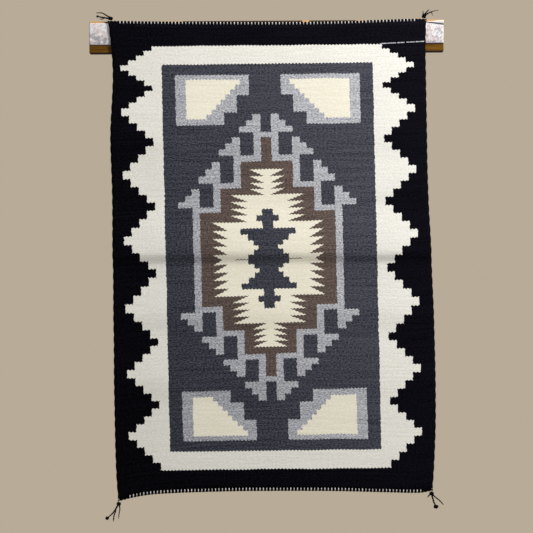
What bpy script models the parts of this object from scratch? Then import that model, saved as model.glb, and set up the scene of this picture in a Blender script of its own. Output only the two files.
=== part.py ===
"""A small navajo rug that hangs flat in front of a wooden batten, held by a strip of hook tape.

Frame: metres, +X to the right as the rug is seen, +Y into the wall, +Z up. The origin is the middle of
the batten's back face. The rug's table values are its real outline, which is a little wider at the
bottom than at the top, as hand-woven rugs are.
"""

import bisect
import math
from collections import namedtuple

import bmesh
import bpy
from mathutils import Vector

# Driving dimensions
BATTEN_LENGTH = 0.710
BATTEN_HEIGHT = 0.0635
BATTEN_THICKNESS = 0.019
BATTEN_EDGE_ROUNDING = 0.0008
TAPE_HEIGHT = 0.0435
TAPE_THICKNESS = 0.0016
TAPE_BELOW_BATTEN_TOP = 0.0034
GAP = 0.0003
CLOTH_THICKNESS = 0.004
CLOTH_EDGE_ROUNDING = 0.0011
END_CORD_WIDE = 0.0020
END_CORD_NARROW = 0.0012
END_CORD_HALF_TURN = 0.0069
SELVAGE_CORD_WIDE = 0.0018
SELVAGE_CORD_NARROW = 0.0012
SELVAGE_CORD_HALF_TURN = 0.021

MM = 0.001
WELD_DISTANCE = 0.00001

# How finely the solids are cut
CLOTH_COLUMNS = 16
CLOTH_SIDE_CROWDING = 0.6
CLOTH_ROW_SPACING = 0.032
CLOTH_ROW_CLOSEST = 0.0045
SECTIONS_A_HALF_TURN = 3
CORD_PROFILE_POINTS = 6

# Depths, from the wall forward
TAPE_BACK = BATTEN_THICKNESS + GAP
CLOTH_BACK = TAPE_BACK + TAPE_THICKNESS + GAP
CLOTH_MIDDLE = CLOTH_BACK + CLOTH_THICKNESS / 2.0

# What the cords take up of the rug's outline, at its ends and at its sides
END_INSET = 2.0 * END_CORD_WIDE + GAP
SIDE_INSET = 2.0 * SELVAGE_CORD_WIDE + GAP

# The rug's outline with its cords: height of both ends at points across it, and x of both sides going down
EndEdge = namedtuple("EndEdge", "across top bottom")
END_EDGES = (
    EndEdge(0.00, 0.0330, -0.9290),
    EndEdge(0.06, 0.0322, -0.9205),
    EndEdge(0.13, 0.0312, -0.9152),
    EndEdge(0.33, 0.0297, -0.9112),
    EndEdge(0.50, 0.0285, -0.9106),
    EndEdge(0.70, 0.0288, -0.9118),
    EndEdge(0.87, 0.0320, -0.9150),
    EndEdge(0.96, 0.0333, -0.9158),
    EndEdge(1.00, 0.0330, -0.9110),
)
SideEdge = namedtuple("SideEdge", "down left right")
SIDE_EDGES = (
    SideEdge(0.00, -0.3170, 0.3205),
    SideEdge(0.06, -0.3108, 0.3188),
    SideEdge(0.12, -0.3085, 0.3194),
    SideEdge(0.24, -0.3138, 0.3206),
    SideEdge(0.36, -0.3112, 0.3222),
    SideEdge(0.50, -0.3103, 0.3278),
    SideEdge(0.68, -0.3095, 0.3336),
    SideEdge(0.84, -0.3085, 0.3350),
    SideEdge(0.94, -0.3062, 0.3315),
    SideEdge(1.00, -0.3020, 0.3270),
)

# Soft folds right across the rug: crest below the top edge, depth, length of the slope above and below
# the crest, and the share of the depth at the left side, the middle and the right side
Fold = namedtuple("Fold", "crest depth rise fall left middle right")
FOLDS = (
    Fold(0.236, 0.0032, 0.110, 0.048, 1.0, 0.5, 0.2),
    Fold(0.342, 0.0024, 0.080, 0.032, 0.0, 0.3, 1.0),
    Fold(0.460, 0.0078, 0.120, 0.026, 1.0, 1.0, 0.8),
    Fold(0.582, 0.0034, 0.070, 0.040, 1.0, 0.6, 0.7),
    Fold(0.712, 0.0036, 0.090, 0.054, 1.0, 0.6, 0.4),
)
ROWS_ABOVE_CREST = (0.7, 0.35)
ROWS_BELOW_CREST = (0.0, 0.25, 0.5, 0.75, 1.0)

# Lower corners that lift off the rug's plane
Curl = namedtuple("Curl", "across depth reach")
LOWER_CURLS = (
    Curl(0.0, 0.004, 0.065),
    Curl(1.0, 0.005, 0.060),
)

# Corner tassels: how far the knot sits beside the corner of the outline, its half sizes, and the strands,
# each with its radius at the root and at the tip, the half sizes of a knot at its end, if it has one, and
# its points from the knot's centre, in millimetres: x, forward, up
Strand = namedtuple("Strand", "root tip end_knot points")
Tassel = namedtuple("Tassel", "name across down aside knot_size strands")
TASSELS = (
    Tassel("corner_tassel_top_left", 0.0, 0.0, 0.0050, (0.0050, 0.0035, 0.0042), (
        Strand(0.0019, 0.0010, None, ((0, 0, 1), (-8, 1, 6), (-17, 0, 11), (-26, -1, 11.2))),
        Strand(0.0022, 0.0014, (0.0030, 0.0022, 0.0024),
               ((0, 0, -1), (-9, -1, 1), (-18, -2, 2.8), (-25.8, -1, 4.2))),
        Strand(0.0012, 0.0009, None, ((-12, -1, 1), (-17, -3, -1), (-19.5, -4, -0.5))),
    )),
    Tassel("corner_tassel_top_right", 1.0, 0.0, -0.0050, (0.0048, 0.0036, 0.0048), (
        Strand(0.0018, 0.0012, None, ((0, 0, 2), (4, 1, 6.5), (9, 1, 11.8))),
        Strand(0.0020, 0.0007, None, ((1, 0, 1), (9, -1, 6), (17, -1, 9.5), (26.5, 0, 11.2))),
        Strand(0.0013, 0.0006, None, ((14, -1, 8), (16.2, -2, 6), (17.2, -2, 3.5))),
        Strand(0.0014, 0.0008, None, ((-1, 0, 2), (-1.8, 1, 5.5), (-2, 2, 7.8))),
    )),
    Tassel("corner_tassel_bottom_left", 0.0, 1.0, 0.0012, (0.0046, 0.0036, 0.0046), (
        Strand(0.0022, 0.0013, (0.0040, 0.0030, 0.0038),
               ((-1, 0, -1), (-7, 1, -12), (-14, 1, -20.5), (-23.2, 0, -28.5))),
        Strand(0.0016, 0.0015, None, ((-6, 0, -9), (-6.8, -2, -16), (-9.5, -3, -23), (-11, -3, -33.8))),
        Strand(0.0016, 0.0010, None, ((1, 0, -2), (2.2, -1, -10), (0.8, -2, -18), (-0.5, -2, -28))),
    )),
    Tassel("corner_tassel_bottom_right", 1.0, 1.0, -0.0024, (0.0048, 0.0036, 0.0046), (
        Strand(0.0020, 0.0018, (0.0056, 0.0030, 0.0046),
               ((0, 0, -1), (2, 1, -9), (4.5, 1, -17.5), (8.5, 0, -26.5))),
        Strand(0.0016, 0.0013, None, ((1, 0, -1), (8, -1, -8), (15.5, -2, -14), (22.5, -2, -21.5))),
        Strand(0.0015, 0.0014, None, ((-1, 0, -1), (-4.5, -1, -3.5), (-6.8, -1, -6.2))),
    )),
)
STRAND_STEPS = 9
STRAND_SIDES_RESOLUTION = 0
Stop = namedtuple("Stop", "place aside forward up")

# Materials: colour, roughness
Finish = namedtuple("Finish", "colour roughness")
FINISHES = {
    "rug_wool": Finish((0.130, 0.130, 0.145), 0.95),
    "black_yarn": Finish((0.012, 0.012, 0.015), 0.90),
    "batten_wood": Finish((0.180, 0.095, 0.030), 0.55),
    "hook_tape": Finish((0.720, 0.700, 0.700), 0.80),
}


def clear_scene():
    for thing in list(bpy.data.objects):
        bpy.data.objects.remove(thing)


def new_collection(name):
    collection = bpy.data.collections.new(name)
    bpy.context.scene.collection.children.link(collection)
    return collection


def finish_material(node_name, finish_name):
    """A material of the object's own, with the named finish."""
    finish = FINISHES[finish_name]
    material = bpy.data.materials.new(node_name + "_" + finish_name)
    material.use_nodes = True
    shader = material.node_tree.nodes["Principled BSDF"]
    shader.inputs["Base Color"].default_value = (*finish.colour, 1.0)
    shader.inputs["Roughness"].default_value = finish.roughness
    shader.inputs["Metallic"].default_value = 0.0
    return material


def add_object(name, data, collection, finish_name):
    thing = bpy.data.objects.new(name, data)
    data.materials.append(finish_material(name, finish_name))
    collection.objects.link(thing)
    return thing


def between(start, end, share):
    return start + (end - start) * share


def through(rows, place_column, value_column, place):
    """Reads a table between its rows, along a smooth curve through them."""
    places = [getattr(row, place_column) for row in rows]
    values = [getattr(row, value_column) for row in rows]
    last = len(rows) - 1

    def slope(index):
        before, after = max(index - 1, 0), min(index + 1, last)
        return (values[after] - values[before]) / (places[after] - places[before])

    place = min(max(place, places[0]), places[last])
    start = min(bisect.bisect_right(places, place) - 1, last - 1)
    span = places[start + 1] - places[start]
    t = (place - places[start]) / span
    return (
        values[start] * (1.0 + 2.0 * t) * (1.0 - t) ** 2
        + values[start + 1] * t * t * (3.0 - 2.0 * t)
        + slope(start) * span * t * (1.0 - t) ** 2
        - slope(start + 1) * span * t * t * (1.0 - t)
    )


def outline_x(side, down):
    return through(SIDE_EDGES, "down", side, down)


def outline_z(end, across):
    return through(END_EDGES, "across", end, across)


RUG_LENGTH = outline_z("top", 0.5) - outline_z("bottom", 0.5)
RUG_WIDTH = outline_x("right", 0.5) - outline_x("left", 0.5)


def fold_share(fold, across):
    """A fold's share of its depth across the rug: a parabola through its three table values."""
    return (
        fold.left * (1.0 - across) * (1.0 - 2.0 * across)
        + fold.middle * 4.0 * across * (1.0 - across)
        + fold.right * across * (2.0 * across - 1.0)
    )


def fold_bulge(fold, distance):
    """1 at the crest and 0 past the slopes. distance is counted downwards from the crest."""
    reach = fold.fall if distance > 0.0 else fold.rise
    if abs(distance) >= reach:
        return 0.0
    return 0.5 * (1.0 + math.cos(math.pi * distance / reach))


def cloth_depth(across, down):
    """How far the rug's middle surface stands forward of the wall."""
    depth = CLOTH_MIDDLE
    for fold in FOLDS:
        bulge = fold_bulge(fold, down * RUG_LENGTH - fold.crest)
        depth += fold.depth * bulge * fold_share(fold, across)
    for curl in LOWER_CURLS:
        away = math.hypot((across - curl.across) * RUG_WIDTH, (1.0 - down) * RUG_LENGTH)
        depth += curl.depth * max(0.0, 1.0 - away / curl.reach) ** 2
    return depth


def outline_point(across, down):
    """A point of the rug with its cords, on its middle surface."""
    return Vector((
        between(outline_x("left", down), outline_x("right", down), across),
        -cloth_depth(across, down),
        between(outline_z("top", across), outline_z("bottom", across), down),
    ))


def cloth_point(across, down):
    """A point of the woven cloth inside its cords, from 0 to 1 across it and down it."""
    side, end = SIDE_INSET / RUG_WIDTH, END_INSET / RUG_LENGTH
    return outline_point(between(side, 1.0 - side, across), between(end, 1.0 - end, down))


def cloth_rows():
    """Places down the cloth where its solid is cut: evenly spaced, and closer below each fold's crest."""
    wanted = []
    for fold in FOLDS:
        wanted += [fold.crest - fold.rise * share for share in ROWS_ABOVE_CREST]
        wanted += [fold.crest + fold.fall * share for share in ROWS_BELOW_CREST]
    steps = round(RUG_LENGTH / CLOTH_ROW_SPACING)
    wanted += [RUG_LENGTH * step / steps for step in range(1, steps)]
    rows = [0.0]
    for place in sorted(wanted):
        if place - rows[-1] >= CLOTH_ROW_CLOSEST and RUG_LENGTH - place >= CLOTH_ROW_CLOSEST:
            rows.append(place)
    rows.append(RUG_LENGTH)
    return [place / RUG_LENGTH for place in rows]


def build_rug_cloth(collection):
    """One open sheet along the folds, thickened and with softened edges."""
    rows = cloth_rows()
    row_count = len(rows) - 1
    sheet = bmesh.new()
    bmesh.ops.create_grid(sheet, x_segments=CLOTH_COLUMNS, y_segments=row_count, size=0.5)
    for vertex in sheet.verts:
        even = vertex.co.x + 0.5
        across = between(even, 0.5 - 0.5 * math.cos(math.pi * even), CLOTH_SIDE_CROWDING)
        down = rows[round((0.5 - vertex.co.y) * row_count)]
        vertex.co = cloth_point(across, down)
    mesh = bpy.data.meshes.new("rug_cloth")
    sheet.to_mesh(mesh)
    sheet.free()
    rug = add_object("rug_cloth", mesh, collection, "rug_wool")
    thicken = rug.modifiers.new("thickness", "SOLIDIFY")
    thicken.thickness = CLOTH_THICKNESS
    thicken.offset = 0.0
    soften = rug.modifiers.new("softened_edges", "BEVEL")
    soften.width = CLOTH_EDGE_ROUNDING
    soften.segments = 1
    soften.limit_method = "ANGLE"
    soften.angle_limit = math.radians(60.0)
    return rug


def oval_profile(name, wide, narrow, guides):
    """The cross-section of a two-ply cord, swept along its path with a steady twist."""
    profile = bpy.data.curves.new(name, "CURVE")
    profile.dimensions = "2D"
    profile.fill_mode = "NONE"
    spline = profile.splines.new("POLY")
    spline.points.add(CORD_PROFILE_POINTS - 1)
    for index, point in enumerate(spline.points):
        angle = -2.0 * math.pi * index / CORD_PROFILE_POINTS
        point.co = (wide * math.cos(angle), narrow * math.sin(angle), 0.0, 1.0)
    spline.use_cyclic_u = True
    guide = bpy.data.objects.new(name, profile)
    guide.hide_render = True
    guide.display_type = "WIRE"
    guides.objects.link(guide)
    return guide


def build_twisted_cord(name, path, profile, sections, collection):
    """A two-ply cord along path, a function of 0 to 1. At its ends the wide way of its oval is turned up."""
    curve = bpy.data.curves.new(name, "CURVE")
    curve.dimensions = "3D"
    curve.twist_mode = "MINIMUM"
    curve.bevel_mode = "OBJECT"
    curve.bevel_object = profile
    curve.use_fill_caps = True
    spline = curve.splines.new("POLY")
    spline.points.add(sections)
    for index, point in enumerate(spline.points):
        point.co = (*path(index / sections), 1.0)
        point.tilt = math.pi * (0.5 + index / SECTIONS_A_HALF_TURN)
    return add_object(name, curve, collection, "black_yarn")


def knot_centre(tassel):
    """A corner knot sits on the outer side of the end cord, close to the corner."""
    centre = outline_point(tassel.across + tassel.aside / RUG_WIDTH, tassel.down)
    off_the_cord = tassel.knot_size[2] + GAP
    centre.z += between(off_the_cord, -off_the_cord, tassel.down)
    return centre


def build_end_cord(name, down, profile, collection):
    """The twined cord along the top or bottom end, from one side of the rug to the other."""
    centre = between(-END_CORD_WIDE, END_CORD_WIDE, down)

    def path(across):
        point = outline_point(across, down)
        point.z += centre
        return point

    half_turns = round((path(1.0) - path(0.0)).length / END_CORD_HALF_TURN)
    return build_twisted_cord(name, path, profile, half_turns * SECTIONS_A_HALF_TURN, collection)


def build_selvage_cord(name, across, profile, collection):
    """The cord along one side, between the end cords."""
    centre = between(SELVAGE_CORD_WIDE, -SELVAGE_CORD_WIDE, across)
    inner = across + 2.0 * centre / RUG_WIDTH
    past_end_cord = 2.0 * END_CORD_WIDE + 2.0 * GAP
    top_end = min(outline_z("top", across), outline_z("top", inner)) - past_end_cord
    bottom_end = max(outline_z("bottom", across), outline_z("bottom", inner)) + past_end_cord
    top, bottom = outline_z("top", across), outline_z("bottom", across)

    def path(share):
        down = (between(top_end, bottom_end, share) - top) / (bottom - top)
        point = outline_point(across, down)
        point.x += centre
        return point

    half_turns = round((top_end - bottom_end) / SELVAGE_CORD_HALF_TURN)
    return build_twisted_cord(name, path, profile, half_turns * SECTIONS_A_HALF_TURN, collection)


def from_knot(centre, point):
    """Where a strand's point lies, given from the knot's centre in millimetres as x, forward and up."""
    aside, forward, up = point
    return centre + MM * Vector((aside, -forward, up))


def smooth_route(points, steps):
    """Points along a smooth curve through the few given ones."""
    stops = [Stop(place, *point) for place, point in enumerate(points)]
    last = len(stops) - 1
    return [
        [through(stops, "place", column, last * step / steps) for column in ("aside", "forward", "up")]
        for step in range(steps + 1)
    ]


def strand_mesh(strand, centre):
    """One four-sided strand as a closed mesh that thins towards its tip."""
    curve = bpy.data.curves.new("strand", "CURVE")
    curve.dimensions = "3D"
    curve.bevel_depth = 1.0
    curve.bevel_resolution = STRAND_SIDES_RESOLUTION
    curve.use_fill_caps = True
    spline = curve.splines.new("POLY")
    spline.points.add(STRAND_STEPS)
    for index, place in enumerate(smooth_route(strand.points, STRAND_STEPS)):
        spline.points[index].co = (*from_knot(centre, place), 1.0)
        spline.points[index].radius = between(strand.root, strand.tip, index / STRAND_STEPS)
    holder = bpy.data.objects.new("strand", curve)
    bpy.context.scene.collection.objects.link(holder)
    graph = bpy.context.evaluated_depsgraph_get()
    mesh = bpy.data.meshes.new_from_object(holder.evaluated_get(graph))
    bpy.data.objects.remove(holder)
    shape = bmesh.new()
    shape.from_mesh(mesh)
    bmesh.ops.remove_doubles(shape, verts=shape.verts, dist=WELD_DISTANCE)
    shape.to_mesh(mesh)
    shape.free()
    return mesh


def lump_mesh(name, centre, half_sizes):
    """A rounded lump of wound yarn, for a knot."""
    lump = bmesh.new()
    bmesh.ops.create_icosphere(lump, subdivisions=2, radius=1.0)
    for vertex in lump.verts:
        vertex.co = centre + Vector([part * size for part, size in zip(vertex.co, half_sizes)])
    mesh = bpy.data.meshes.new(name)
    lump.to_mesh(mesh)
    lump.free()
    return mesh


def build_tassel(tassel, collection, cutters):
    """The corner knot with its strands and their end knots joined to it."""
    centre = knot_centre(tassel)
    head = lump_mesh(tassel.name, centre, tassel.knot_size)
    knot = add_object(tassel.name, head, collection, "black_yarn")
    for number, strand in enumerate(tassel.strands):
        pieces = [strand_mesh(strand, centre)]
        if strand.end_knot:
            tip = from_knot(centre, strand.points[-1])
            pieces.append(lump_mesh("end_knot", tip, strand.end_knot))
        for piece in pieces:
            cutter = bpy.data.objects.new(tassel.name + "_strand_" + str(number), piece)
            cutter.hide_render = True
            cutter.display_type = "WIRE"
            cutters.objects.link(cutter)
            join = knot.modifiers.new("strand", "BOOLEAN")
            join.operation = "UNION"
            join.object = cutter
    return knot


def build_board(name, length, height, thickness, back, top, finish_name, collection):
    """A long flat board or strip, given by its back face and top edge."""
    board = bmesh.new()
    bmesh.ops.create_cube(board, size=1.0)
    for vertex in board.verts:
        vertex.co = Vector((
            vertex.co.x * length,
            -back + (vertex.co.y - 0.5) * thickness,
            top + (vertex.co.z - 0.5) * height,
        ))
    mesh = bpy.data.meshes.new(name)
    board.to_mesh(mesh)
    board.free()
    return add_object(name, mesh, collection, finish_name)


def build_batten(collection):
    batten = build_board(
        "hanging_batten", BATTEN_LENGTH, BATTEN_HEIGHT, BATTEN_THICKNESS,
        0.0, BATTEN_HEIGHT / 2.0, "batten_wood", collection,
    )
    rounding = batten.modifiers.new("eased_edges", "BEVEL")
    rounding.width = BATTEN_EDGE_ROUNDING
    rounding.segments = 1
    return batten


def build_hook_tape(collection):
    return build_board(
        "hook_tape", BATTEN_LENGTH, TAPE_HEIGHT, TAPE_THICKNESS,
        TAPE_BACK, BATTEN_HEIGHT / 2.0 - TAPE_BELOW_BATTEN_TOP, "hook_tape", collection,
    )


def main():
    clear_scene()
    parts = new_collection("navajo_rug_on_batten")
    guides = new_collection("guides")
    guides.hide_render = True
    build_batten(parts)
    build_hook_tape(parts)
    build_rug_cloth(parts)
    end_profile = oval_profile("end_cord_profile", END_CORD_WIDE, END_CORD_NARROW, guides)
    side_profile = oval_profile("selvage_profile", SELVAGE_CORD_WIDE, SELVAGE_CORD_NARROW, guides)
    build_end_cord("end_cord_top", 0.0, end_profile, parts)
    build_end_cord("end_cord_bottom", 1.0, end_profile, parts)
    build_selvage_cord("selvage_cord_left", 0.0, side_profile, parts)
    build_selvage_cord("selvage_cord_right", 1.0, side_profile, parts)
    for tassel in TASSELS:
        build_tassel(tassel, parts, guides)


main()
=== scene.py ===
"""The looks of a small hand-woven rug that hangs from a wooden batten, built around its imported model.

Metres, +X to the right as the rug is seen, +Y into the wall, +Z up. The origin is the middle of the
batten's back face. The outline, the folds and the tassels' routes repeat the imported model's own values.
"""

import bisect
import math
import random
from collections import namedtuple

import bmesh
import bpy
from mathutils import Matrix, Vector, noise


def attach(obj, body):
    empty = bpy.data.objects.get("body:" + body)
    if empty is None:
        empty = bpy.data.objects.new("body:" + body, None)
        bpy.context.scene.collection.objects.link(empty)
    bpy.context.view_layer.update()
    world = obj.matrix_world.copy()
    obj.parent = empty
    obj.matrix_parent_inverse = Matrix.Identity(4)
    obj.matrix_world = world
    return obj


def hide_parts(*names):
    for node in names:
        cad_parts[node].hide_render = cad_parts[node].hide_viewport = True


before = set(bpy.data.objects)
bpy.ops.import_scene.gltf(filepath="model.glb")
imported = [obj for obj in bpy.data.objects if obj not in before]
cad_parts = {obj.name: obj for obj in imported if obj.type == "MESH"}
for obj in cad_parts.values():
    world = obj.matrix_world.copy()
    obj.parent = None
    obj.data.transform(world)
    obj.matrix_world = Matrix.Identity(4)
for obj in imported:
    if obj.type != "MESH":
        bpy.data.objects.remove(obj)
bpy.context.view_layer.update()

MM = 0.001

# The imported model's driving dimensions
BATTEN_LENGTH = 0.710
BATTEN_HEIGHT = 0.0635
BATTEN_THICKNESS = 0.019
TAPE_HEIGHT = 0.0435
TAPE_THICKNESS = 0.0016
TAPE_BELOW_BATTEN_TOP = 0.0034
GAP = 0.0003
CLOTH_THICKNESS = 0.004
END_CORD_WIDE = 0.0020
END_CORD_HALF_TURN = 0.0069
SELVAGE_CORD_WIDE = 0.0018
SELVAGE_CORD_HALF_TURN = 0.021
TAPE_BACK = BATTEN_THICKNESS + GAP
CLOTH_BACK = TAPE_BACK + TAPE_THICKNESS + GAP
CLOTH_MIDDLE = CLOTH_BACK + CLOTH_THICKNESS / 2.0
END_INSET = 2.0 * END_CORD_WIDE + GAP
SIDE_INSET = 2.0 * SELVAGE_CORD_WIDE + GAP

# The rug's outline with its cords: height of both ends at points across it, and x of both sides going down
EndEdge = namedtuple("EndEdge", "across top bottom")
END_EDGES = (
    EndEdge(0.00, 0.0330, -0.9290),
    EndEdge(0.06, 0.0322, -0.9205),
    EndEdge(0.13, 0.0312, -0.9152),
    EndEdge(0.33, 0.0297, -0.9112),
    EndEdge(0.50, 0.0285, -0.9106),
    EndEdge(0.70, 0.0288, -0.9118),
    EndEdge(0.87, 0.0320, -0.9150),
    EndEdge(0.96, 0.0333, -0.9158),
    EndEdge(1.00, 0.0330, -0.9110),
)
SideEdge = namedtuple("SideEdge", "down left right")
SIDE_EDGES = (
    SideEdge(0.00, -0.3170, 0.3205),
    SideEdge(0.06, -0.3108, 0.3188),
    SideEdge(0.12, -0.3085, 0.3194),
    SideEdge(0.24, -0.3138, 0.3206),
    SideEdge(0.36, -0.3112, 0.3222),
    SideEdge(0.50, -0.3103, 0.3278),
    SideEdge(0.68, -0.3095, 0.3336),
    SideEdge(0.84, -0.3085, 0.3350),
    SideEdge(0.94, -0.3062, 0.3315),
    SideEdge(1.00, -0.3020, 0.3270),
)

# Soft folds right across the rug: crest below the top edge, depth, length of the slope above and below
# the crest, and the share of the depth at the left side, the middle and the right side
Fold = namedtuple("Fold", "crest depth rise fall left middle right")
FOLDS = (
    Fold(0.236, 0.0032, 0.110, 0.048, 1.0, 0.5, 0.2),
    Fold(0.342, 0.0024, 0.080, 0.032, 0.0, 0.3, 1.0),
    Fold(0.460, 0.0078, 0.120, 0.026, 1.0, 1.0, 0.8),
    Fold(0.582, 0.0034, 0.070, 0.040, 1.0, 0.6, 0.7),
    Fold(0.712, 0.0036, 0.090, 0.054, 1.0, 0.6, 0.4),
)
Curl = namedtuple("Curl", "across depth reach")
LOWER_CURLS = (
    Curl(0.0, 0.004, 0.065),
    Curl(1.0, 0.005, 0.060),
)

# Corner tassels: how far the knot sits beside the corner of the outline, its half sizes, and the strands,
# each with its radius at the root and at the tip, the half sizes of a knot at its end, if it has one, and
# its points from the knot's centre, in millimetres: x, forward, up
Strand = namedtuple("Strand", "root tip end_knot points")
Tassel = namedtuple("Tassel", "name across down aside knot_size strands")
TASSELS = (
    Tassel("corner_tassel_top_left", 0.0, 0.0, 0.0050, (0.0050, 0.0035, 0.0042), (
        Strand(0.0019, 0.0010, None, ((0, 0, 1), (-8, 1, 6), (-17, 0, 11), (-26, -1, 11.2))),
        Strand(0.0022, 0.0014, (0.0030, 0.0022, 0.0024),
               ((0, 0, -1), (-9, -1, 1), (-18, -2, 2.8), (-25.8, -1, 4.2))),
        Strand(0.0012, 0.0009, None, ((-12, -1, 1), (-17, -3, -1), (-19.5, -4, -0.5))),
    )),
    Tassel("corner_tassel_top_right", 1.0, 0.0, -0.0050, (0.0048, 0.0036, 0.0048), (
        Strand(0.0018, 0.0012, None, ((0, 0, 2), (4, 1, 6.5), (9, 1, 11.8))),
        Strand(0.0020, 0.0007, None, ((1, 0, 1), (9, -1, 6), (17, -1, 9.5), (26.5, 0, 11.2))),
        Strand(0.0013, 0.0006, None, ((14, -1, 8), (16.2, -2, 6), (17.2, -2, 3.5))),
        Strand(0.0014, 0.0008, None, ((-1, 0, 2), (-1.8, 1, 5.5), (-2, 2, 7.8))),
    )),
    Tassel("corner_tassel_bottom_left", 0.0, 1.0, 0.0012, (0.0046, 0.0036, 0.0046), (
        Strand(0.0022, 0.0013, (0.0040, 0.0030, 0.0038),
               ((-1, 0, -1), (-7, 1, -12), (-14, 1, -20.5), (-23.2, 0, -28.5))),
        Strand(0.0016, 0.0015, None, ((-6, 0, -9), (-6.8, -2, -16), (-9.5, -3, -23), (-11, -3, -33.8))),
        Strand(0.0016, 0.0010, None, ((1, 0, -2), (2.2, -1, -10), (0.8, -2, -18), (-0.5, -2, -28))),
    )),
    Tassel("corner_tassel_bottom_right", 1.0, 1.0, -0.0024, (0.0048, 0.0036, 0.0046), (
        Strand(0.0020, 0.0018, (0.0056, 0.0030, 0.0046),
               ((0, 0, -1), (2, 1, -9), (4.5, 1, -17.5), (8.5, 0, -26.5))),
        Strand(0.0016, 0.0013, None, ((1, 0, -1), (8, -1, -8), (15.5, -2, -14), (22.5, -2, -21.5))),
        Strand(0.0015, 0.0014, None, ((-1, 0, -1), (-4.5, -1, -3.5), (-6.8, -1, -6.2))),
    )),
)
Stop = namedtuple("Stop", "place aside forward up")

# The weave: two columns of the mesh for each warp, which shows as a rib on both faces
WARP_PITCH = 0.00345
WEFT_PITCH = 0.0014
VALLEY_SHARE = 0.84
RIM_SHARE = 0.55
CLOTH_ROWS = 124
FOLD_ROW_DENSITY = 2.4
COCKLING = 0.00045
COCKLE_LENGTH = 0.055
CLOTH_UNDER_CORD = 0.0014

# The yarns of the cords, and the light warp ends that show between the twists of the end cords
PLIES = 2
SECTIONS_A_HALF_TURN = 8
SIDES_OF_A_PLY = 7
END_CORD_PINCH = 0.66
SELVAGE_CORD_PINCH = 0.86
STRAND_PINCH = 0.9
WARP_LOOP_RADIUS = 0.0010
TWISTS_WITHOUT_LOOP = 3
LoopStop = namedtuple("LoopStop", "inward forward radius")
WARP_LOOP = (
    LoopStop(5.6, 0.9, 0.8), LoopStop(4.6, 2.0, 1.0), LoopStop(3.4, 2.45, 1.05), LoopStop(2.2, 2.3, 1.0),
    LoopStop(1.3, 1.4, 0.9), LoopStop(1.0, 0.2, 0.7),
)
LOWER_LOOPS_INWARD = 1.3

# The pattern, in millimetres: one quarter is charted and mirrored about the middle of the rug
FIELD_CENTRE = 1.6
FIELD_CENTRE_DOWN = 98.0
FIELD_DRIFT = 0.01695
MEDALLION_LEFT_OF_FIELD = 5.5
CHART_MIDDLE = 442.2
EDGE_STAGGER = 5.0
EDGE_DRIFT = 3.0
EDGE_SCALLOP = 0.85
FIELD_HALF_WIDTH = 211.3
FIELD_HALF_LENGTH = 387.0
BORDER_TOP = 18.7
BORDER_BOTTOM = 866.1
PEAK_REACH = 293.5
PEAK_STEP = 15.8
STEPS_A_PEAK = 8
BLOCK_OUTER = 184.7
BLOCK_NEAR = 265.5
BLOCK_FAR = 365.5
INSET_OUTER = 163.8
INSET_NEAR = 277.5
INSET_FAR = 356.0
INSET_EDGE = 50.0
INSET_STEP_WIDE = 9.7
INSET_STEP_TALL = 9.9
STAIR_TOP = 249.0
STAIR_RISE = 48.0
STAIR_RUN = 41.6
STAIR_LEVELS = 4
STAIR_FIRST = 24.7
RISER_WIDTH = 14.2
BAND_THICKNESS = 10.8
HOOK_ROW = 12.4
SPAN = 950.0
SKEW_WIDTH = 524.0

# Where the rows of the border's steps came to lie, in steps counted from the top of the pale border
BorderRow = namedtuple("BorderRow", "down step")
BORDER_ROWS = (
    BorderRow(18.3, 0), BorderRow(55.4, 4), BorderRow(95.6, 8), BorderRow(140.6, 12),
    BorderRow(200.9, 16), BorderRow(327.4, 24),
    BorderRow(460.4, 32), BorderRow(598.6, 40), BorderRow(725.9, 48), BorderRow(866.1, 57),
)
# How much lower the rows lie at the left of the border than at its right
Skew = namedtuple("Skew", "down drop")
SKEWS = (
    Skew(19, 2.4), Skew(140, 4.9), Skew(201, 5.5), Skew(327, 9.9),
    Skew(460, 11.5), Skew(600, 9.9), Skew(727, 6.1), Skew(866, 2.9),
)
# How far the rows of the middle figure crept from even spacing
Creep = namedtuple("Creep", "down shift")
CREEPS = (
    Creep(0, 0.0), Creep(176, 0.0), Creep(192, 1.4), Creep(238, 3.6), Creep(265, 0.0), Creep(292, -3.2),
    Creep(340, -3.3), Creep(445, -2.9), Creep(550, -2.5), Creep(598, -3.2), Creep(646, -2.4),
    Creep(691, 0.6), Creep(708, 0.0), Creep(900, 0.0),
)
# Half widths that change in steps going out from the middle of the rug
Step = namedtuple("Step", "beyond width")
BLOCK_INNER = (Step(0.0, 82.5), Step(290.0, 56.0), Step(325.0, 32.0))
HOOK_WIDTH = (Step(0.0, 42.6), Step(HOOK_ROW, 28.8), Step(2 * HOOK_ROW, 16.0), Step(3 * HOOK_ROW, 0.0))
MIDDLE_FIGURE = (
    Step(0.0, 66.0), Step(0.8, 41.0), Step(10.0, 29.6), Step(18.8, 20.0), Step(26.8, 29.6), Step(36.8, 41.0),
    Step(48.8, 55.0), Step(60.8, 10.9), Step(74.8, 22.0), Step(86.8, 10.9), Step(99.4, 0.0),
)
# Serrated cream levels, from the outermost to the middle one: reach from the middle, tip, tooth size
Teeth = namedtuple("Teeth", "reach tip depth pitch")
TEETH = (Teeth(176.0, 34.6, 29.0, 11.9), Teeth(128.4, 73.5, 34.0, 13.6), Teeth(74.0, 111.0, 30.0, 16.0))
# The light line of yarn that runs out to the edge at the upper right
OUTLET_START = 227.0
OUTLET_DOWN = 16.6
OUTLET_SLOPE = 0.047
OUTLET_HALF = 0.85

# Where the batten's top edge is light orange: bare wood where the stain is worn off, with painted highlight
# from the light above
Patch = namedtuple("Patch", "start end")
WORN_AND_LIT_PATCHES = (
    Patch(-0.360, -0.323), Patch(-0.317, -0.309), Patch(-0.212, -0.168),
    Patch(0.072, 0.086), Patch(0.180, 0.202), Patch(0.316, 0.360),
)
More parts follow.
